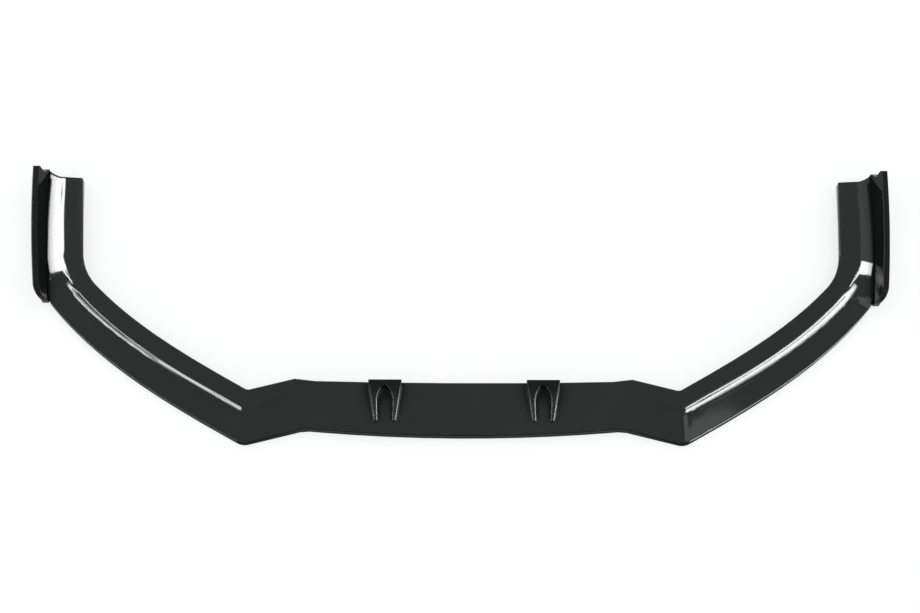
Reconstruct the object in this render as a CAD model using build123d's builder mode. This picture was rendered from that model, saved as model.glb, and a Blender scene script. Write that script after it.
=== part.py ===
from build123d import *
import os
from math import acos, cos, degrees, radians, sin

os.makedirs("parts", exist_ok=True)

# Front splitter lip, in mm. X runs across the car, Y to the rear and Z up. It stands on its lower edge at Z 0,
# with the front corners and the rear of the end plates equally far from the origin.

# Plan of the lip, on the right half
overall_width = 1832.0
overall_depth = 614.0
front_setback = 15.0
centre_depth = 107.0
jog_angle = 14.6
nose_x = 441.0
nose_radius = 32.0
front_jog_length = 115.0
inner_nose_x = 436.0
inner_nose_setback = 107.0
inner_nose_radius = 14.0
rear_jog_length = 92.0
tooth_rise = 4.5
tooth_run = 25.0
front_sweep_angle = 29.5
rear_sweep_angle = 30.0
wing_front_end_y = 303.0
wing_front_end_angle = 50.0
wing_end_span = 94.5
wing_rear_end_y = 337.0
wing_rear_end_angle = 46.0
bend_radius = 125.0
bend_angle = 38.5
tail_setback = 25.0
end_trim = 10.0
tail_slant = 3.5
tail_start_angle = 18.0
side_corner_radius = 30.0
side_corner_angle = 32.0
side_radius = 2700.0
side_setback = 3.0

# Section of the lip
wall = 4.0
flange_height = 36.0
step_height = 12.0
centre_step_share = 0.05
crease_step_share = 0.25
nose_step_height = 8.0
end_step_height = 6.0
flange_at_tooth = 15.0
flange_at_crease = 21.0
flange_at_nose = 39.0
flange_on_wing = 36.0
flange_at_end = 44.0
riser_at_nose = 7.0
riser_at_root = 10.0
riser_on_wing = 13.0
end_rim = 6.0
lip_height_centre = 18.0
lip_height_nose = 10.5
lip_height_wing = 13.0
lip_height_end = 29.0
edge_return = 7.0
end_return = 18.0
flange_edge_chamfer = 1.5
step_round = 3.5
step_foot_round = 8.0
lip_round_centre = 3.0
lip_round_nose = 5.0
lip_round_wing = 1.5
round_share = 0.45

# Bracket bosses on the centre blade
bracket_x = 160.0
bracket_width = 67.0
bracket_height = 18.0
bracket_length = 78.0
bar_thickness = 6.0
leg_spread = 44.0
leg_gap = 29.0
arch_setback = 9.0
arch_start = 42.0
arch_flare = 1.5
bracket_inset = 1.0
bracket_round = 1.2
leg_tip_height = 4.0

# End plates
plate_height = 60.0
plate_front_height = 51.0
plate_flare = 15.0
plate_thickness = 4.0
plate_gap = 0.2
plate_overhang = 12.0
plate_rake = 6.0
plate_tail_cut = 14.0
plate_tail_height = 42.0
plate_top_radius = 28.0
plate_corner_radius = 3.0
plate_nose_height = 12.0
plate_nose_radius = 5.0
plate_chamfer_run = 13.0
plate_rim_width = 8.5
plate_rim_thickness = 4.0

# Screws
screw_count = 2
screw_diameter = 5.0
screw_head_diameter = 9.0
screw_head_height = 3.0
screw_length = 14.0
screw_height = 6.5
screw_inset = 40.0
screw_fit = 0.1

nose_y = -overall_depth / 2
rear_y = overall_depth / 2
side_start_angle = wing_front_end_angle + side_corner_angle
side_start_y = (
    nose_y
    + wing_front_end_y
    + side_corner_radius * (cos(radians(wing_front_end_angle)) - cos(radians(side_start_angle)))
)
side_rise = rear_y - side_setback - side_start_y
side_turn = degrees(acos(cos(radians(side_start_angle)) - side_rise / side_radius)) - side_start_angle
side_reach = (
    side_corner_radius * (sin(radians(side_start_angle)) - sin(radians(wing_front_end_angle)))
    + side_radius * (sin(radians(side_start_angle + side_turn)) - sin(radians(side_start_angle)))
)
plate_reach = plate_gap + plate_flare + plate_thickness + plate_rim_width
wing_front_end_x = overall_width / 2 - plate_reach - side_reach
wing_rear_end_x = wing_front_end_x - wing_end_span


def heading(angle):
    """Unit direction in plan at an angle from X."""
    return Vector(cos(radians(angle)), sin(radians(angle)))


def blend(start, end, share):
    """Value part of the way from start to end."""
    return start + (end - start) * share


# Front edge of the right half, from the middle to the rear of the side, and on to where it is trimmed
with BuildLine() as front_edge:
    nose_arc = CenterArc(
        (nose_x, nose_y + nose_radius), nose_radius, -90 - jog_angle, jog_angle + front_sweep_angle
    )
    waist = nose_arc @ 0 - heading(-jog_angle) * front_jog_length
    front_jog = Line(waist, nose_arc @ 0)
    front_middle = TangentArc((0, nose_y + front_setback), waist, tangent=(1, 0))
    front_wing = Spline(
        nose_arc @ 1,
        (wing_front_end_x, nose_y + wing_front_end_y),
        tangents=(heading(front_sweep_angle), heading(wing_front_end_angle)),
    )
    side_corner = JernArc(front_wing @ 1, front_wing % 1, side_corner_radius, side_corner_angle)
    side_edge = JernArc(side_corner @ 1, side_corner % 1, side_radius, side_turn)
    side_trim = Line(side_edge @ 1, side_edge @ 1 + (side_edge % 1) * end_trim)

# Rear edge of the right half, from the middle to the rear of the end flange, and on to where it is trimmed
with BuildLine() as rear_edge:
    inner_nose = CenterArc(
        (inner_nose_x, nose_y + inner_nose_setback + inner_nose_radius),
        inner_nose_radius,
        -90 - jog_angle,
        jog_angle + rear_sweep_angle,
    )
    peak = inner_nose @ 0 - heading(-jog_angle) * rear_jog_length
    rear_jog = Line(peak, inner_nose @ 0)
    tooth_foot = peak - Vector(tooth_run, tooth_rise)
    tooth = Line(tooth_foot, peak)
    rear_middle = TangentArc((0, nose_y + front_setback + centre_depth), tooth_foot, tangent=(1, 0))
    rear_wing = Spline(
        inner_nose @ 1,
        (wing_rear_end_x, nose_y + wing_rear_end_y),
        tangents=(heading(rear_sweep_angle), heading(wing_rear_end_angle)),
    )
    bend = JernArc(rear_wing @ 1, rear_wing % 1, bend_radius, bend_angle)
    flange_rise = rear_y - tail_setback - (bend @ 1).Y
    end_flange = Line(bend @ 1, bend @ 1 + (bend % 1) * (flange_rise / (bend % 1).Y))
    flange_trim = Line(end_flange @ 1, end_flange @ 1 + (bend % 1) * 2 * end_trim)

# Section values along the half: step share, flange width, riser width, share of the way from the riser's foot to
# the rim, drop of the step, lip height, rounding of the lip, turned edge
bend_side_share = 0.27
corner_share = 0.4
corner_foot_share = 0.2
centre_lip = (lip_height_centre, lip_round_centre, edge_return)
nose_lip = (lip_height_nose, lip_round_nose, edge_return)
wing_lip = (lip_height_wing, lip_round_wing, edge_return)
at_middle = (centre_step_share, flange_at_tooth, riser_at_nose, 0, step_height, *centre_lip)
at_crease = (crease_step_share, flange_at_crease, riser_at_nose, 0, step_height, *centre_lip)
at_nose = (1, flange_at_nose, riser_at_nose, 0, nose_step_height, *nose_lip)
at_root = (1, flange_on_wing, riser_at_root, 0, step_height, *nose_lip)
on_wing = (1, flange_on_wing, riser_on_wing, 0, step_height, *wing_lip)
at_bend = (1, flange_at_end, riser_on_wing, 1, end_step_height, lip_height_end, lip_round_wing, edge_return)
at_corner = [blend(a, b, corner_share) for a, b in zip(on_wing, at_bend)]
at_corner[3] = corner_foot_share
at_end = (*at_bend[:-1], end_return)

stations = [(rear_middle @ 0, front_middle @ 0, at_middle)]
stops = [0]


def add_run(rear, rear_span, front, front_span, values, count=1, stop=True):
    """Add stations along a stretch of the rear and front edges, up to new section values at its far end.

    The skin is made in one piece as far as a station where it may stop.
    """
    last = stations[-1][2]
    for index in range(count):
        along = index / (count - 1) if count > 1 else 1
        share = (index + 1) / count
        stations.append(
            (
                rear @ blend(*rear_span, along),
                front @ blend(*front_span, along),
                tuple(blend(a, b, share) for a, b in zip(last, values)),
            )
        )
    if stop:
        stops.append(len(stations) - 1)


add_run(rear_middle, (0.32, 0.95), front_middle, (0.3, 0.9), at_middle, count=3)
add_run(tooth, (0, 1), front_middle, (0.9, 0.97), at_middle)
add_run(rear_jog, (0, 0.3), front_jog, (0, 0.08), at_crease)
add_run(rear_jog, (0.65, 1), front_jog, (0.55, 1), at_nose, count=2)
add_run(inner_nose, (0.25, 1), nose_arc, (0.25, 1), at_nose, count=4)
add_run(rear_wing, (0, 0.16), front_wing, (0, 0.16), at_root, stop=False)
add_run(rear_wing, (0.32, 1), front_wing, (0.31, 0.97), on_wing, count=5)
add_run(bend, (0.12, 0.56), side_corner, (0, 1), at_corner, count=4)
add_run(bend, (0.78, 1), side_edge, (0.13, bend_side_share), at_bend, count=2)
add_run(end_flange, (0, 0.3), side_edge, (bend_side_share, 0.5), at_bend, stop=False)
add_run(end_flange, (0.65, 1), side_edge, (0.75, 1), at_end, count=2, stop=False)
add_run(flange_trim, (0, 1), side_trim, (0, 1), at_end)


def across_x(point):
    """Point on the other half."""
    return Vector(-point.X, point.Y)


left_stations = [(across_x(rear), across_x(front), values) for rear, front, values in stations[:0:-1]]


def inner_corner(before, corner, after):
    """Corner of the inner skin, one wall in from a corner of the outer skin."""
    first = (corner - before).normalized()
    second = (after - corner).normalized()
    inward = Vector(first.Y, -first.X) + Vector(second.Y, -second.X)
    return corner + inward * (2 * wall / inward.dot(inward))


def rounded(before, corner, after, size):
    """Ends of a rounding at a distance from its corner, or nearer where a side of the corner is short."""
    back, on = before - corner, after - corner
    reach = min(size, round_share * back.length, round_share * on.length)
    return corner + back.normalized() * reach, corner + on.normalized() * reach


def draw_section(rear, front, values):
    """Closed section of the lip, upright between a point of the rear edge and a point of the front edge."""
    step_share, flange, riser, rim_share, drop, lip_height, lip_round, edge_drop = values
    width = (front - rear).length
    foot = blend(flange + riser, width - end_rim, rim_share)
    slope = (lip_height - flange_height) / width
    outline = [
        Vector(0, flange_height - edge_drop),
        Vector(0, flange_height),
        Vector(flange, blend(flange_height + slope * flange, flange_height, step_share)),
        Vector(foot, blend(flange_height + slope * foot, flange_height - drop, step_share)),
        Vector(width, lip_height),
        Vector(width, 0),
    ]
    inner = [inner_corner(*outline[i - 1 : i + 2]) for i in range(1, 5)]
    sizes = [flange_edge_chamfer, step_round, step_foot_round, lip_round]
    across = (front - rear).normalized()
    with BuildSketch(Plane(origin=rear, x_dir=across, z_dir=across.cross(Vector(0, 0, 1)))) as section:
        with BuildLine():
            here = outline[0]
            for i in range(1, 5):
                start, stop = rounded(*outline[i - 1 : i + 2], sizes[i - 1])
                Line(here, start)
                if i == 1:
                    Line(start, stop)
                else:
                    Bezier(start, outline[i], stop)
                here = stop
            Polyline(here, outline[5], outline[5] - Vector(wall, 0), *inner[::-1])
            Polyline(inner[0], outline[0] + Vector(wall, 0), outline[0])
        make_face()
    return section.sketch


# Bracket boss, a hood of two tapered legs joined by a bar at the rear
bracket_rear_y = (rear_middle @ (bracket_x / rear_middle.length)).Y - bracket_inset
blade_fall = (flange_height - lip_height_centre) / centre_depth
bracket_tip_z = flange_height - blade_fall * bracket_length
with BuildPart() as bracket:
    with BuildSketch(Plane((bracket_x, bracket_rear_y, 0))):
        with BuildLine():
            Polyline((0, 0), (bracket_width / 2, 0), (bracket_width / 2, -bar_thickness))
            leg_tip = Line((leg_spread / 2, -bracket_length), (leg_gap / 2, -bracket_length))
            Line((bracket_width / 2, -bar_thickness), leg_tip @ 0)
            leg_inside = Line(leg_tip @ 1, (leg_gap / 2 + arch_flare, -arch_start))
            arch = TangentArc(leg_inside @ 1, (0, -arch_setback), tangent=leg_inside % 1)
            Line(arch @ 1, (0, 0))
        make_face()
        mirror(about=Plane.YZ)
    extrude(amount=flange_height + bracket_height)
    with BuildSketch(Plane.YZ.offset(bracket_x)):
        with BuildLine():
            Polyline(
                (bracket_rear_y, flange_height - wall / 2),
                (bracket_rear_y, flange_height + bracket_height),
                (bracket_rear_y - bar_thickness, flange_height + bracket_height),
                (bracket_rear_y - bracket_length, bracket_tip_z + leg_tip_height),
                (bracket_rear_y - bracket_length, bracket_tip_z - wall / 2),
                close=True,
            )
        make_face()
    extrude(amount=bracket_width, both=True, mode=Mode.INTERSECT)
    sloped_top = bracket.faces().filter_by(Axis.Z, reverse=True).sort_by(lambda face: face.normal_at().Z)[-1]
    fillet(sloped_top.edges().filter_by(lambda edge: edge.length > bar_thickness), bracket_round)

# Space behind the tail of the end section, which is square across the flange and curves out to the side's rear
across = heading(tail_slant) * flange_at_end
with BuildSketch() as behind_tail:
    with BuildLine():
        tail_edge = Line(end_flange @ 1 - across, end_flange @ 1 + across)
        tail_curve = TangentArc(tail_edge @ 1, side_edge @ 1, tangent=heading(tail_start_angle))
        tail_out = Line(tail_curve @ 1, tail_curve @ 1 + (tail_curve % 1) * flange_at_end)
        Polyline(tail_out @ 1, ((tail_edge @ 0).X, (tail_out @ 1).Y), tail_edge @ 0)
    make_face()

# Places of the screws along the side, on its outer face
screw_spots = []
for index in range(screw_count):
    share = blend(screw_inset, side_edge.length - screw_inset, index / (screw_count - 1)) / side_edge.length
    outward = (side_edge % share).cross(Vector(0, 0, 1))
    screw_spots.append(Plane(origin=side_edge @ share + Vector(0, 0, screw_height), z_dir=outward))

with BuildPart() as lip_body:
    stretches = [stations[first : last + 1] for first, last in zip(stops[1:-1], stops[2:])]
    skins = [loft([draw_section(*spot) for spot in stretch], mode=Mode.PRIVATE) for stretch in stretches]
    add(skins[0].fuse(*skins[1:]), clean=False)
    with BuildSketch(*screw_spots):
        Circle(screw_diameter / 2 + screw_fit)
    extrude(amount=wall + end_rim, both=True, clean=False, mode=Mode.SUBTRACT)
    extrude(behind_tail.sketch, amount=2 * flange_height, both=True, clean=False, mode=Mode.SUBTRACT)
    add(mirror(lip_body.part, about=Plane.YZ, mode=Mode.PRIVATE), clean=False)
    middle_stations = left_stations[-stops[1] :] + stations[: stops[1] + 1]
    loft([draw_section(*spot) for spot in middle_stations], clean=False)
    add([bracket.part, mirror(bracket.part, about=Plane.YZ, mode=Mode.PRIVATE)], clean=False)

lip_body.part.label = "lip_body"
export_step(lip_body.part, "parts/lip_body.step")

# End plate, a bowed web that flares out above the side of the lip, with a rim turned out along its top and front
side_centre = side_edge.arc_center
side_axis = Axis(side_centre, (0, 0, 1))
web_foot = side_radius + plate_gap
web_top = web_foot + plate_flare
plate_front_y = (side_edge @ 0).Y - plate_overhang
with BuildSketch(Plane.YZ) as plate_view:
    with BuildLine():
        FilletPolyline(
            (plate_front_y + plate_chamfer_run, 0),
            (rear_y, 0),
            (rear_y, lip_height_end),
            (rear_y - plate_tail_cut, plate_tail_height),
            (rear_y - plate_rake, plate_height),
            (plate_front_y, plate_front_height),
            (plate_front_y, plate_nose_height),
            radius=(
                plate_corner_radius,
                0,
                plate_corner_radius,
                plate_corner_radius,
                plate_corner_radius,
                plate_top_radius,
                plate_nose_radius,
            ),
            close=True,
        )
    make_face()
with BuildSketch(Plane.YZ) as rim_view:
    add(plate_view.sketch_local)
    with Locations((plate_rim_thickness, -plate_rim_thickness)):
        add(plate_view.sketch_local, mode=Mode.SUBTRACT)


def draw_flare(inside, outside):
    """Radial section of a flared band between two distances from the inner face of the end plate."""
    with BuildSketch(Plane(side_centre, x_dir=(1, 0, 0), z_dir=(0, -1, 0))) as band:
        with BuildLine():
            Polyline(
                (web_foot + inside, 0),
                (web_foot + inside, lip_height_end),
                (web_top + inside, plate_height),
                (web_top + outside, plate_height),
                (web_foot + outside, lip_height_end),
                (web_foot + outside, 0),
                close=True,
            )
        make_face()
    return band.sketch


with BuildPart() as plate_rim:
    revolve(draw_flare(plate_thickness, plate_thickness + plate_rim_width), axis=side_axis)
    extrude(rim_view.sketch, amount=overall_width, mode=Mode.INTERSECT)

with BuildPart() as right_end_plate:
    revolve(draw_flare(0, plate_thickness), axis=side_axis)
    extrude(plate_view.sketch, amount=overall_width, mode=Mode.INTERSECT)
    add(plate_rim.part)
    with BuildSketch(*screw_spots):
        Circle(screw_diameter / 2 + screw_fit)
    extrude(amount=2 * plate_thickness, both=True, mode=Mode.SUBTRACT)

right_end_plate.part.label = "right_end_plate"
export_step(right_end_plate.part, "parts/right_end_plate.step")

with BuildPart() as left_end_plate:
    add(mirror(right_end_plate.part, about=Plane.YZ, mode=Mode.PRIVATE))

left_end_plate.part.label = "left_end_plate"
export_step(left_end_plate.part, "parts/left_end_plate.step")

# Plain pan head screw, head up from Z 0
with BuildPart() as screw:
    Cylinder(screw_head_diameter / 2, screw_head_height, align=(Align.CENTER, Align.CENTER, Align.MIN))
    Cylinder(screw_diameter / 2, screw_length, align=(Align.CENTER, Align.CENTER, Align.MAX))

# The screws, with their heads against the outside of the end plates
with BuildPart() as end_plate_screws:
    for spot in screw_spots:
        add(screw.part.moved(spot.offset(plate_gap + plate_thickness).location))
    mirror(about=Plane.YZ)

end_plate_screws.part.label = "end_plate_screws"
export_step(end_plate_screws.part, "parts/end_plate_screws.step")
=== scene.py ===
"""Looks of a gloss black front splitter lip: its finishes, its screws, the studio and the camera."""

import logging
import math
from dataclasses import dataclass, field
from enum import Enum

import bpy
import numpy as np
from mathutils import Matrix, Vector


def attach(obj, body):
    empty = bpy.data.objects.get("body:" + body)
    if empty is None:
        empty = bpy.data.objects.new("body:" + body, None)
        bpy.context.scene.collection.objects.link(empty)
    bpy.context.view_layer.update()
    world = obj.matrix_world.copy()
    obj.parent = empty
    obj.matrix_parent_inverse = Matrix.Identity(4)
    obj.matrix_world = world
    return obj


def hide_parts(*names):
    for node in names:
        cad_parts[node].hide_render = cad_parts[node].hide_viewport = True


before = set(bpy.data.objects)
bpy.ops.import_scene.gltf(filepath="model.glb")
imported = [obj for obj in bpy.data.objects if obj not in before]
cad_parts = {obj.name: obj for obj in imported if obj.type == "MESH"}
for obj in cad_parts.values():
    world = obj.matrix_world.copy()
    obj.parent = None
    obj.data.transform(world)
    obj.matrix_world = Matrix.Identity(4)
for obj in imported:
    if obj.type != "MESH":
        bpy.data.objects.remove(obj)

LOG = logging.getLogger("splitter_lip")
BODY = "root"

Tree = bpy.types.NodeTree
Socket = bpy.types.NodeSocket
Colour = tuple[float, float, float]
Span = tuple[float, float]


class Node(Enum):
    """Names of the solids in the frame."""

    LIP = "lip_body"
    LEFT_PLATE = "left_end_plate"
    RIGHT_PLATE = "right_end_plate"
    SCREWS = "end_plate_screws"


class Slot(Enum):
    """Names of the material slots in the record."""

    LIP = "lip_gloss"
    PLATE = "plate_gloss"
    SCREW = "screw_black"


class Sum(Enum):
    """Sums that a math node does."""

    SIZE = "ABSOLUTE"
    LARGER = "MAXIMUM"
    PRODUCT = "MULTIPLY"


def noise(tree: Tree, place: bpy.types.Node, scale: float, detail: float) -> Socket:
    """Adds a noise texture on object coordinates.

    Args:
        tree: Node tree to add to.
        place: Texture coordinate node.
        scale: Noise cells in a metre.
        detail: Octaves of finer noise.

    Returns:
        The noise value.
    """
    node = tree.nodes.new("ShaderNodeTexNoise")
    node.inputs["Scale"].default_value = scale
    node.inputs["Detail"].default_value = detail
    tree.links.new(place.outputs["Object"], node.inputs["Vector"])
    return node.outputs["Fac"]


def spread(tree: Tree, value: Socket, span: Span, low: float, high: float) -> Socket:
    """Maps a value from one range to another, held at its ends.

    Args:
        tree: Node tree to add to.
        value: Value to map.
        span: Range of the value.
        low: Result at the start of the range.
        high: Result at the end of the range.

    Returns:
        The mapped value.
    """
    node = tree.nodes.new("ShaderNodeMapRange")
    node.interpolation_type = "SMOOTHSTEP"
    node.inputs["From Min"].default_value = span[0]
    node.inputs["From Max"].default_value = span[1]
    node.inputs["To Min"].default_value = low
    node.inputs["To Max"].default_value = high
    tree.links.new(value, node.inputs["Value"])
    return node.outputs["Result"]


def tint(tree: Tree, value: Socket, first: Colour, second: Colour) -> Socket:
    """Mixes two colours by a value.

    Args:
        tree: Node tree to add to.
        value: Share of the second colour.
        first: Colour at 0.
        second: Colour at 1.

    Returns:
        The mixed colour.
    """
    node = tree.nodes.new("ShaderNodeMix")
    node.data_type = "RGBA"
    node.inputs["A"].default_value = (*first, 1.0)
    node.inputs["B"].default_value = (*second, 1.0)
    tree.links.new(value, node.inputs["Factor"])
    return node.outputs["Result"]


def axes(tree: Tree, place: Socket) -> tuple[Socket, ...]:
    """Splits a place into its three coordinates.

    Args:
        tree: Node tree to add to.
        place: Place to split.

    Returns:
        The X, Y and Z values.
    """
    node = tree.nodes.new("ShaderNodeSeparateXYZ")
    tree.links.new(place, node.inputs["Vector"])
    return tuple(node.outputs)


def combine(tree: Tree, total: Sum, *values: Socket) -> Socket:
    """Adds a math node.

    Args:
        tree: Node tree to add to.
        total: Sum that it does.
        values: Values that it takes.

    Returns:
        The result.
    """
    node = tree.nodes.new("ShaderNodeMath")
    node.operation = total.value
    for value, socket in zip(values, node.inputs):
        tree.links.new(value, socket)
    return node.outputs["Value"]


@dataclass(frozen=True)
class MouldedGloss:
    """Gloss black moulded plastic with soft edges, a faint waviness and a slightly uneven polish."""

    slot: Slot
    colour: Colour = (0.0080, 0.0094, 0.0094)
    second_colour: Colour = (0.0096, 0.0110, 0.0110)
    roughness: Span = (0.045, 0.075)
    specular: float = 0.45
    edge_round: float = 0.006
    edge_samples: int = 8
    patch_scale: float = 9.0
    patch_detail: float = 3.0
    patch_span: Span = (0.35, 0.7)
    grain_scale: float = 900.0
    grain_detail: float = 2.0
    grain_span: Span = (0.3, 0.7)
    wave_scale: float = 42.0
    wave_detail: float = 1.0
    wave_depth: float = 0.000012

    def build(self) -> bpy.types.Material:
        """Makes the node material.

        Returns:
            The finished material.
        """
        material = bpy.data.materials.new(self.slot.value)
        material.use_nodes = True
        tree = material.node_tree
        shader = tree.nodes["Principled BSDF"]
        place = tree.nodes.new("ShaderNodeTexCoord")
        self.shine(tree, place, shader.inputs["Specular IOR Level"])

        patches = noise(tree, place, self.patch_scale, self.patch_detail)
        second_share = spread(tree, patches, self.patch_span, 0.0, 1.0)
        tree.links.new(tint(tree, second_share, self.colour, self.second_colour), shader.inputs["Base Color"])
        grain = noise(tree, place, self.grain_scale, self.grain_detail)
        tree.links.new(spread(tree, grain, self.grain_span, *self.roughness), shader.inputs["Roughness"])

        edges = tree.nodes.new("ShaderNodeBevel")
        edges.samples = self.edge_samples
        self.soften(tree, place, edges.inputs["Radius"])
        bump = tree.nodes.new("ShaderNodeBump")
        bump.inputs["Strength"].default_value = 1.0
        bump.inputs["Distance"].default_value = self.wave_depth
        tree.links.new(noise(tree, place, self.wave_scale, self.wave_detail), bump.inputs["Height"])
        tree.links.new(edges.outputs["Normal"], bump.inputs["Normal"])
        tree.links.new(bump.outputs["Normal"], shader.inputs["Normal"])
        return material

    def shine(self, tree: Tree, place: bpy.types.Node, level: Socket) -> None:
        """Sets the specular level, the same all over.

        Args:
            tree: Node tree of the material, not used here.
            place: Texture coordinate node, not used here.
            level: Socket of the specular level.
        """
        level.default_value = self.specular

    def soften(self, tree: Tree, place: bpy.types.Node, radius: Socket) -> None:
        """Sets the radius of the soft edges, the same all over.

        Args:
            tree: Node tree of the material, not used here.
            place: Texture coordinate node, not used here.
            radius: Socket of the radius.
        """
        radius.default_value = self.edge_round


@dataclass(frozen=True)
class LipGloss(MouldedGloss):
    """Gloss of the lip with painted shade: less reflection in hollows, on the brackets' raised rear and on
    the low front face.
    """

    slot: Slot = Slot.LIP
    low_edge_round: float = 0.001
    low_edge_heights: Span = (0.018, 0.025)
    # Painted shade: in hollows found by ambient occlusion, the specular level drops to this.
    hollow_shade_specular: float = 0.054
    hollow_shade_reach: float = 0.030
    hollow_shade_samples: int = 8
    hollow_shade_span: Span = (0.58, 0.97)
    # Painted shade: the specular level is lowered on the raised rear of the brackets.
    bracket_shade_share: float = 0.2
    bracket_shade_heights: Span = (0.0365, 0.052)
    bracket_shade_limits: Span = (0.22, 0.24)
    # Painted shade: the specular level is lowered on the steep low front face.
    front_shade_share: float = 0.1
    front_shade_slopes: Span = (0.6, 0.95)
    front_shade_heights: Span = (0.019, 0.024)

    def shine(self, tree: Tree, place: bpy.types.Node, level: Socket) -> None:
        """Paints shade by lowering the specular level in hollows, by height on the brackets and by slope on
        the front face.

        Args:
            tree: Node tree of the material.
            place: Texture coordinate node.
            level: Socket of the specular level.
        """
        level.default_value = self.specular
        # Painted shade in hollows: ambient occlusion lowers the specular level.
        hollow = tree.nodes.new("ShaderNodeAmbientOcclusion")
        hollow.samples = self.hollow_shade_samples
        hollow.inputs["Distance"].default_value = self.hollow_shade_reach
        open_share = spread(tree, hollow.outputs["AO"], self.hollow_shade_span, self.hollow_shade_specular, self.specular)

        across, _, height = axes(tree, place.outputs["Object"])
        # Painted shade on the raised rear of the brackets, near the middle: less reflection above a height.
        bracket_shade_by_height = spread(tree, height, self.bracket_shade_heights, 1.0, self.bracket_shade_share)
        aside = spread(tree, combine(tree, Sum.SIZE, across), self.bracket_shade_limits, 0.0, 1.0)
        bracket_shade_share = combine(tree, Sum.LARGER, bracket_shade_by_height, aside)
        # Painted shade on the low front face: less reflection where it is steep and low.
        upright = axes(tree, place.outputs["Normal"])[2]
        steep = spread(tree, upright, self.front_shade_slopes, self.front_shade_share, 1.0)
        above = spread(tree, height, self.front_shade_heights, 0.0, 1.0)
        front_shade_share = combine(tree, Sum.LARGER, steep, above)
        share = combine(tree, Sum.PRODUCT, bracket_shade_share, front_shade_share)
        tree.links.new(combine(tree, Sum.PRODUCT, open_share, share), level)

    def soften(self, tree: Tree, place: bpy.types.Node, radius: Socket) -> None:
        """Sets the radius of the soft edges by height.

        Args:
            tree: Node tree of the material.
            place: Texture coordinate node.
            radius: Socket of the radius.
        """
        height = axes(tree, place.outputs["Object"])[2]
        by_height = spread(tree, height, self.low_edge_heights, self.low_edge_round, self.edge_round)
        tree.links.new(by_height, radius)


@dataclass(frozen=True)
class PlateGloss(MouldedGloss):
    """Gloss of the end plates, darker and crisper along its edges than the lip's."""

    slot: Slot = Slot.PLATE
    colour: Colour = (0.0062, 0.0064, 0.0067)
    second_colour: Colour = (0.0078, 0.0080, 0.0082)
    specular: float = 0.2
    edge_round: float = 0.002


@dataclass(frozen=True)
class BlackCoat:
    """Black coated steel, satin and a little mottled."""

    slot: Slot = Slot.SCREW
    colour: Colour = (0.018, 0.018, 0.018)
    worn_colour: Colour = (0.028, 0.027, 0.026)
    roughness: Span = (0.32, 0.46)
    mottle_scale: float = 1400.0
    mottle_detail: float = 3.0
    worn_span: Span = (0.4, 0.7)
    rough_span: Span = (0.3, 0.7)

    def build(self) -> bpy.types.Material:
        """Makes the node material.

        Returns:
            The finished material.
        """
        material = bpy.data.materials.new(self.slot.value)
        material.use_nodes = True
        tree = material.node_tree
        shader = tree.nodes["Principled BSDF"]
        place = tree.nodes.new("ShaderNodeTexCoord")
        mottle = noise(tree, place, self.mottle_scale, self.mottle_detail)
        worn = spread(tree, mottle, self.worn_span, 0.0, 1.0)
        tree.links.new(tint(tree, worn, self.colour, self.worn_colour), shader.inputs["Base Color"])
        tree.links.new(spread(tree, mottle, self.rough_span, *self.roughness), shader.inputs["Roughness"])
        return material


def dress(node: Node, material: bpy.types.Material) -> None:
    """Puts one finish on a solid.

    Args:
        node: Solid to dress.
        material: Its finish.
    """
    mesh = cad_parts[node.value].data
    mesh.materials.clear()
    mesh.materials.append(material)
    LOG.info("%s: %s", node.value, material.name)


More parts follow.
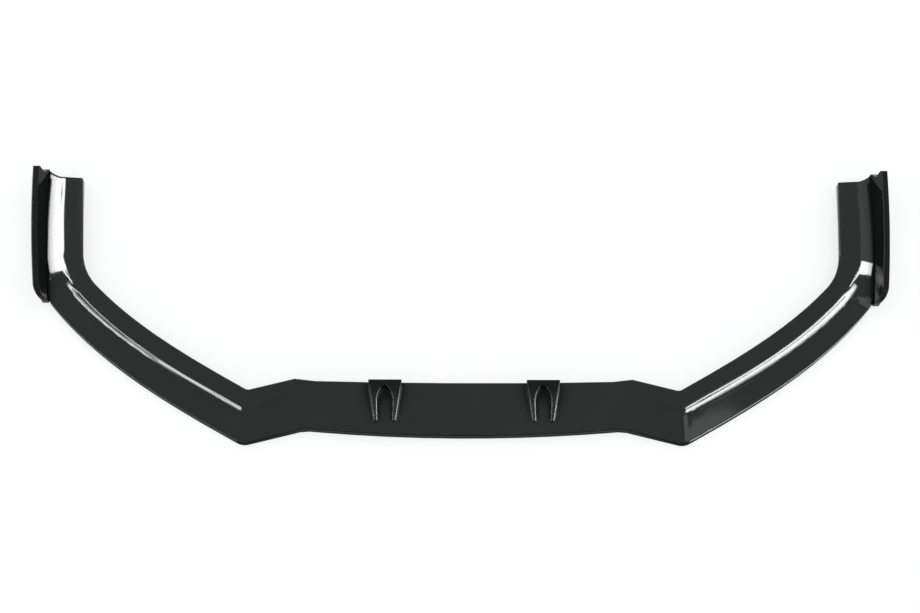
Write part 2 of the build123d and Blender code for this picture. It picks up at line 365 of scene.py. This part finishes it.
@dataclass
class PanScrew:
    """Pan head screw with a cross recess and a coarse thread, in metres, its head up from Z 0."""

    head_diameter: float = 0.009
    head_height: float = 0.003
    head_round: float = 0.0011
    recess_reach: float = 0.0050
    recess_slot: float = 0.0011
    recess_depth: float = 0.0017
    core_diameter: float = 0.0039
    thread_diameter: float = 0.0050
    thread_pitch: float = 0.0018
    length: float = 0.014
    tip_length: float = 0.003
    tip_diameter: float = 0.00195
    sides: int = 40
    ridge_sides: int = 3
    round_steps: int = 5
    smooth_angle: float = 35.0

    def build(self) -> bpy.types.Object:
        """Models the screw.

        Returns:
            The screw at the origin.
        """
        parts = [self.head(), self.core(), self.tip(), self.thread()]
        bpy.ops.object.select_all(action="DESELECT")
        for part in parts:
            part.select_set(True)
        bpy.context.view_layer.objects.active = parts[0]
        bpy.ops.object.join()
        bpy.ops.object.shade_smooth_by_angle(angle=math.radians(self.smooth_angle))
        return bpy.context.object

    def head(self) -> bpy.types.Object:
        """Models the rounded head with its cross recess.

        Returns:
            The head.
        """
        bpy.ops.object.select_all(action="DESELECT")
        bpy.ops.mesh.primitive_cylinder_add(
            vertices=self.sides,
            radius=self.head_diameter / 2,
            depth=self.head_height,
            location=(0.0, 0.0, self.head_height / 2),
        )
        head = bpy.context.object
        bpy.ops.object.transform_apply(location=True, rotation=True, scale=True)
        bpy.ops.object.mode_set(mode="EDIT")
        bpy.ops.mesh.select_all(action="DESELECT")
        bpy.ops.object.mode_set(mode="OBJECT")
        for edge in head.data.edges:
            edge.select = all(head.data.vertices[i].co.z > self.head_height / 2 for i in edge.vertices)
        bpy.ops.object.mode_set(mode="EDIT")
        bpy.ops.mesh.select_mode(type="EDGE")
        bpy.ops.mesh.bevel(offset=self.head_round, segments=self.round_steps, affect="EDGES")
        bpy.ops.object.mode_set(mode="OBJECT")
        for turn in (0.0, math.pi / 2):
            self.cut_slot(head, turn)
        return head

    def cut_slot(self, head: bpy.types.Object, turn: float) -> None:
        """Cuts one slot of the recess into the head.

        Args:
            head: Head to cut.
            turn: Direction of the slot, in radians.
        """
        bpy.ops.object.select_all(action="DESELECT")
        bpy.ops.mesh.primitive_cube_add(
            size=1.0,
            location=(0.0, 0.0, self.head_height),
            rotation=(0.0, 0.0, turn),
            scale=(self.recess_reach, self.recess_slot, 2.0 * self.recess_depth),
        )
        cutter = bpy.context.object
        bpy.ops.object.transform_apply(location=True, rotation=True, scale=True)
        bpy.ops.object.select_all(action="DESELECT")
        head.select_set(True)
        bpy.context.view_layer.objects.active = head
        cut = head.modifiers.new("slot", "BOOLEAN")
        cut.operation = "DIFFERENCE"
        cut.object = cutter
        bpy.ops.object.modifier_apply(modifier=cut.name)
        bpy.data.objects.remove(cutter)

    def core(self) -> bpy.types.Object:
        """Models the shank below the head.

        Returns:
            The shank.
        """
        depth = self.length - self.tip_length
        bpy.ops.object.select_all(action="DESELECT")
        bpy.ops.mesh.primitive_cylinder_add(
            vertices=self.sides, radius=self.core_diameter / 2, depth=depth, location=(0.0, 0.0, -depth / 2)
        )
        bpy.ops.object.transform_apply(location=True, rotation=True, scale=True)
        return bpy.context.object

    def tip(self) -> bpy.types.Object:
        """Models the blunt tapered tip.

        Returns:
            The tip.
        """
        bpy.ops.object.select_all(action="DESELECT")
        bpy.ops.mesh.primitive_cone_add(
            vertices=self.sides,
            radius1=self.tip_diameter / 2,
            radius2=self.core_diameter / 2,
            depth=self.tip_length,
            location=(0.0, 0.0, self.tip_length / 2 - self.length),
        )
        bpy.ops.object.transform_apply(location=True, rotation=True, scale=True)
        return bpy.context.object

    def thread(self) -> bpy.types.Object:
        """Models the thread as a ridge wound around the shank.

        Returns:
            The thread.
        """
        depth = self.length - self.tip_length
        turns = math.floor(depth / self.thread_pitch) - 1
        reach = (self.thread_diameter - self.core_diameter) / 2
        # The centre of the equal-sided ridge is a third of its height out from the shank.
        middle = self.core_diameter / 2 + reach / 3
        bpy.ops.object.select_all(action="DESELECT")
        bpy.ops.mesh.primitive_circle_add(
            vertices=self.ridge_sides,
            radius=reach * 2 / 3,
            location=(middle, 0.0, -depth),
            rotation=(math.pi / 2, math.pi / 2, 0.0),
        )
        ridge = bpy.context.object
        bpy.ops.object.transform_apply(location=True, rotation=True, scale=True)
        winding = ridge.modifiers.new("winding", "SCREW")
        winding.axis = "Z"
        winding.angle = 2.0 * math.pi
        winding.screw_offset = self.thread_pitch
        winding.iterations = turns
        winding.steps = winding.render_steps = self.sides
        bpy.ops.object.modifier_apply(modifier=winding.name)
        bpy.ops.object.mode_set(mode="EDIT")
        bpy.ops.mesh.select_all(action="SELECT")
        bpy.ops.mesh.fill_holes(sides=self.ridge_sides)
        bpy.ops.mesh.normals_make_consistent(inside=False)
        bpy.ops.object.mode_set(mode="OBJECT")
        return ridge


@dataclass
class PlateScrews:
    """The detailed screws, at the places of the plain ones in the frame."""

    screw: PanScrew = field(default_factory=PanScrew)

    def build(self, material: bpy.types.Material) -> bpy.types.Object:
        """Models the screws as one piece that takes the place of the plain solids.

        Args:
            material: Finish of the screws.

        Returns:
            The piece.
        """
        pattern = self.screw.build()
        copies = [pattern]
        places = self.places()
        for _ in places[1:]:
            bpy.ops.object.select_all(action="DESELECT")
            pattern.select_set(True)
            bpy.context.view_layer.objects.active = pattern
            bpy.ops.object.duplicate()
            copies.append(bpy.context.object)
        bpy.ops.object.select_all(action="DESELECT")
        for copy, place in zip(copies, places):
            copy.matrix_world = place
            copy.select_set(True)
        bpy.context.view_layer.objects.active = pattern
        bpy.ops.object.transform_apply(location=True, rotation=True, scale=True)
        bpy.ops.object.join()
        piece = bpy.context.object
        piece.name = "plate_screws"
        piece.data.materials.clear()
        piece.data.materials.append(material)
        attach(piece, BODY)
        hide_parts(Node.SCREWS.value)
        LOG.info("%s: %d screws, %d faces", piece.name, len(places), len(piece.data.polygons))
        return piece

    def places(self) -> list[Matrix]:
        """Reads the places of the plain screws off their meshes.

        Returns:
            A placement for each screw, with its seat at the origin and its head along Z.
        """
        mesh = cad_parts[Node.SCREWS.value].data
        points = np.array([vertex.co for vertex in mesh.vertices])
        apart = 2.0 * (self.screw.length + self.screw.head_height)
        places = []
        left = np.ones(len(points), bool)
        while left.any():
            near = left & (np.linalg.norm(points - points[left][0], axis=1) < apart)
            left &= ~near
            group = points[near]
            centre = (group.max(axis=0) + group.min(axis=0)) / 2
            axis = Vector(np.linalg.eigh(np.cov((group - centre).T))[1][:, -1])
            # The head is on the outside of its plate.
            axis *= math.copysign(1.0, axis.x * centre[0])
            along = (group - centre) @ np.array(axis)
            top = Vector(centre) + axis * (float(along.max()) - self.screw.head_height)
            places.append(Matrix.Translation(top) @ axis.to_track_quat("Z", "Y").to_matrix().to_4x4())
        return places


def towards(azimuth: float, elevation: float) -> Vector:
    """Direction from the middle of the floor.

    Args:
        azimuth: Degrees from the front, to the viewer's right.
        elevation: Degrees above the floor.

    Returns:
        A unit vector.
    """
    turn, tilt = math.radians(azimuth), math.radians(elevation)
    return Vector((math.sin(turn) * math.cos(tilt), -math.cos(turn) * math.cos(tilt), math.sin(tilt)))


@dataclass
class Camera:
    """Camera at the photo's angle, in metres and degrees."""

    elevation: float = 66.0
    azimuth: float = -3.19
    roll: float = 3.15
    distance: float = 3.2
    focal_pixels: float = 1524.0
    image_width: float = 920.0
    sensor: float = 36.0
    view_reach: float = 100.0
    aim: Vector = field(default_factory=lambda: Vector((-0.0064, 0.0005, 0.0)))

    def build(self) -> None:
        """Makes the camera and gives it to the scene."""
        back = towards(self.azimuth, self.elevation)
        turn, roll = math.radians(self.azimuth), math.radians(self.roll)
        side = Vector((math.cos(turn), math.sin(turn), 0.0))
        up = back.cross(side)
        right = math.cos(roll) * side + math.sin(roll) * up
        above = math.cos(roll) * up - math.sin(roll) * side
        lens = bpy.data.cameras.new("photo_camera")
        lens.sensor_width = self.sensor
        lens.lens = self.focal_pixels / self.image_width * self.sensor
        lens.clip_end = self.view_reach
        camera = bpy.data.objects.new("photo_camera", lens)
        columns = Matrix((right, above, back)).transposed()
        camera.matrix_world = Matrix.Translation(self.aim + self.distance * back) @ columns.to_4x4()
        bpy.context.scene.collection.objects.link(camera)
        bpy.context.scene.camera = camera


@dataclass
class Softbox:
    """Soft lamp far off in one direction, in degrees, which shows in the gloss and fades to its top edge."""

    name: str
    azimuth: float
    elevation: float
    wide: float
    high: float
    radiance: float
    fade: float = 0.02
    distance: float = 40.0

    def build(self) -> None:
        """Makes the lamp, with its power worked out from the brightness of its face."""
        away = towards(self.azimuth, self.elevation)
        lamp = bpy.data.lights.new(self.name, "AREA")
        lamp.shape = "RECTANGLE"
        lamp.size = 2.0 * self.distance * math.tan(math.radians(self.wide / 2))
        lamp.size_y = 2.0 * self.distance * math.tan(math.radians(self.high / 2))
        lamp.energy = self.radiance * math.pi * lamp.size * lamp.size_y
        lamp.use_nodes = True
        tree = lamp.node_tree
        place = tree.nodes.new("ShaderNodeNewGeometry")
        upward = axes(tree, place.outputs["Parametric"])[1]
        level = spread(tree, upward, (1.0 - self.fade, 1.0), 1.0, 0.0)
        tree.links.new(level, tree.nodes["Emission"].inputs["Strength"])
        holder = bpy.data.objects.new(self.name, lamp)
        holder.location = away * self.distance
        holder.rotation_euler = away.to_track_quat("Z", "Y").to_euler()
        holder.visible_diffuse = False
        bpy.context.scene.collection.objects.link(holder)


@dataclass
class Studio:
    """Pale floor, an even room that shows dimmer in the gloss, and soft lamps at the sides and behind."""

    floor_half: float = 12.0
    floor_drop: float = 0.0005
    floor_colour: Colour = (0.3, 0.3, 0.3)
    floor_glow: float = 0.72
    room_level: float = 1.0
    gloss_level: float = 0.55
    room_colour: Colour = (0.98, 1.0, 1.0)
    # Azimuth, elevation, width, height, radiance and fade of each lamp.
    lamps: tuple[Softbox, ...] = (
        Softbox("right_softbox", 69.0, 26.0, 44.0, 34.0, 24.0, 0.5),
        Softbox("right_rear_softbox", 111.0, 46.0, 9.0, 14.0, 26.0),
        Softbox("right_panel", 65.0, 63.5, 14.0, 13.0, 1.25),
        Softbox("right_rear_panel", 127.0, 43.0, 16.0, 14.0, 0.5),
        Softbox("left_front_softbox", -47.25, 14.5, 14.5, 25.0, 16.0, 0.5),
        Softbox("left_middle_softbox", -57.5, 22.0, 6.0, 28.0, 6.0, 0.5),
        Softbox("left_softbox", -77.25, 25.0, 33.5, 22.0, 7.0, 0.5),
        Softbox("left_strip", -78.0, 30.0, 34.0, 8.0, 14.0, 0.5),
        Softbox("left_rear_softbox", -118.0, 48.7, 18.0, 12.8, 26.0),
        Softbox("left_rear_strip", -135.0, 54.0, 12.0, 9.0, 26.0),
    )

    def build(self) -> None:
        """Makes the floor, the room and the lamps."""
        self.floor()
        self.room()
        for lamp in self.lamps:
            lamp.build()

    def floor(self) -> None:
        """Makes a white floor that glows, so that only a faint contact shadow shows on it."""
        bpy.ops.object.select_all(action="DESELECT")
        bpy.ops.mesh.primitive_plane_add(size=2.0 * self.floor_half, location=(0.0, 0.0, -self.floor_drop))
        floor = bpy.context.object
        floor.name = "studio_floor"
        bpy.ops.object.transform_apply(location=True, rotation=True, scale=True)
        material = bpy.data.materials.new("studio_floor")
        material.use_nodes = True
        tree = material.node_tree
        shader = tree.nodes["Principled BSDF"]
        shader.inputs["Base Color"].default_value = (*self.floor_colour, 1.0)
        shader.inputs["Roughness"].default_value = 1.0
        shader.inputs["Specular IOR Level"].default_value = 0.0
        shader.inputs["Emission Color"].default_value = (1.0, 1.0, 1.0, 1.0)
        path = tree.nodes.new("ShaderNodeLightPath")
        seen = combine(tree, Sum.LARGER, path.outputs["Is Camera Ray"], path.outputs["Is Glossy Ray"])
        seen = combine(tree, Sum.LARGER, seen, path.outputs["Is Transmission Ray"])
        glow = spread(tree, seen, (0.0, 1.0), 0.0, self.floor_glow)
        tree.links.new(glow, shader.inputs["Emission Strength"])
        floor.data.materials.append(material)

    def room(self) -> None:
        """Makes the room around the floor."""
        world = bpy.data.worlds.new("studio_room")
        world.use_nodes = True
        bpy.context.scene.world = world
        tree = world.node_tree
        background = tree.nodes["Background"]
        background.inputs["Color"].default_value = (*self.room_colour, 1.0)
        path = tree.nodes.new("ShaderNodeLightPath")
        level = spread(tree, path.outputs["Is Glossy Ray"], (0.0, 1.0), self.room_level, self.gloss_level)
        tree.links.new(level, background.inputs["Strength"])


def main() -> None:
    """Builds the finishes, the screws, the studio and the camera."""
    logging.basicConfig(level=logging.INFO)
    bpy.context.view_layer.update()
    dress(Node.LIP, LipGloss().build())
    plate_gloss = PlateGloss().build()
    for side in (Node.LEFT_PLATE, Node.RIGHT_PLATE):
        dress(side, plate_gloss)
    PlateScrews().build(BlackCoat().build())
    Studio().build()
    Camera().build()
    bpy.context.scene.view_settings.view_transform = "Standard"


if __name__ == "__main__":
    main()
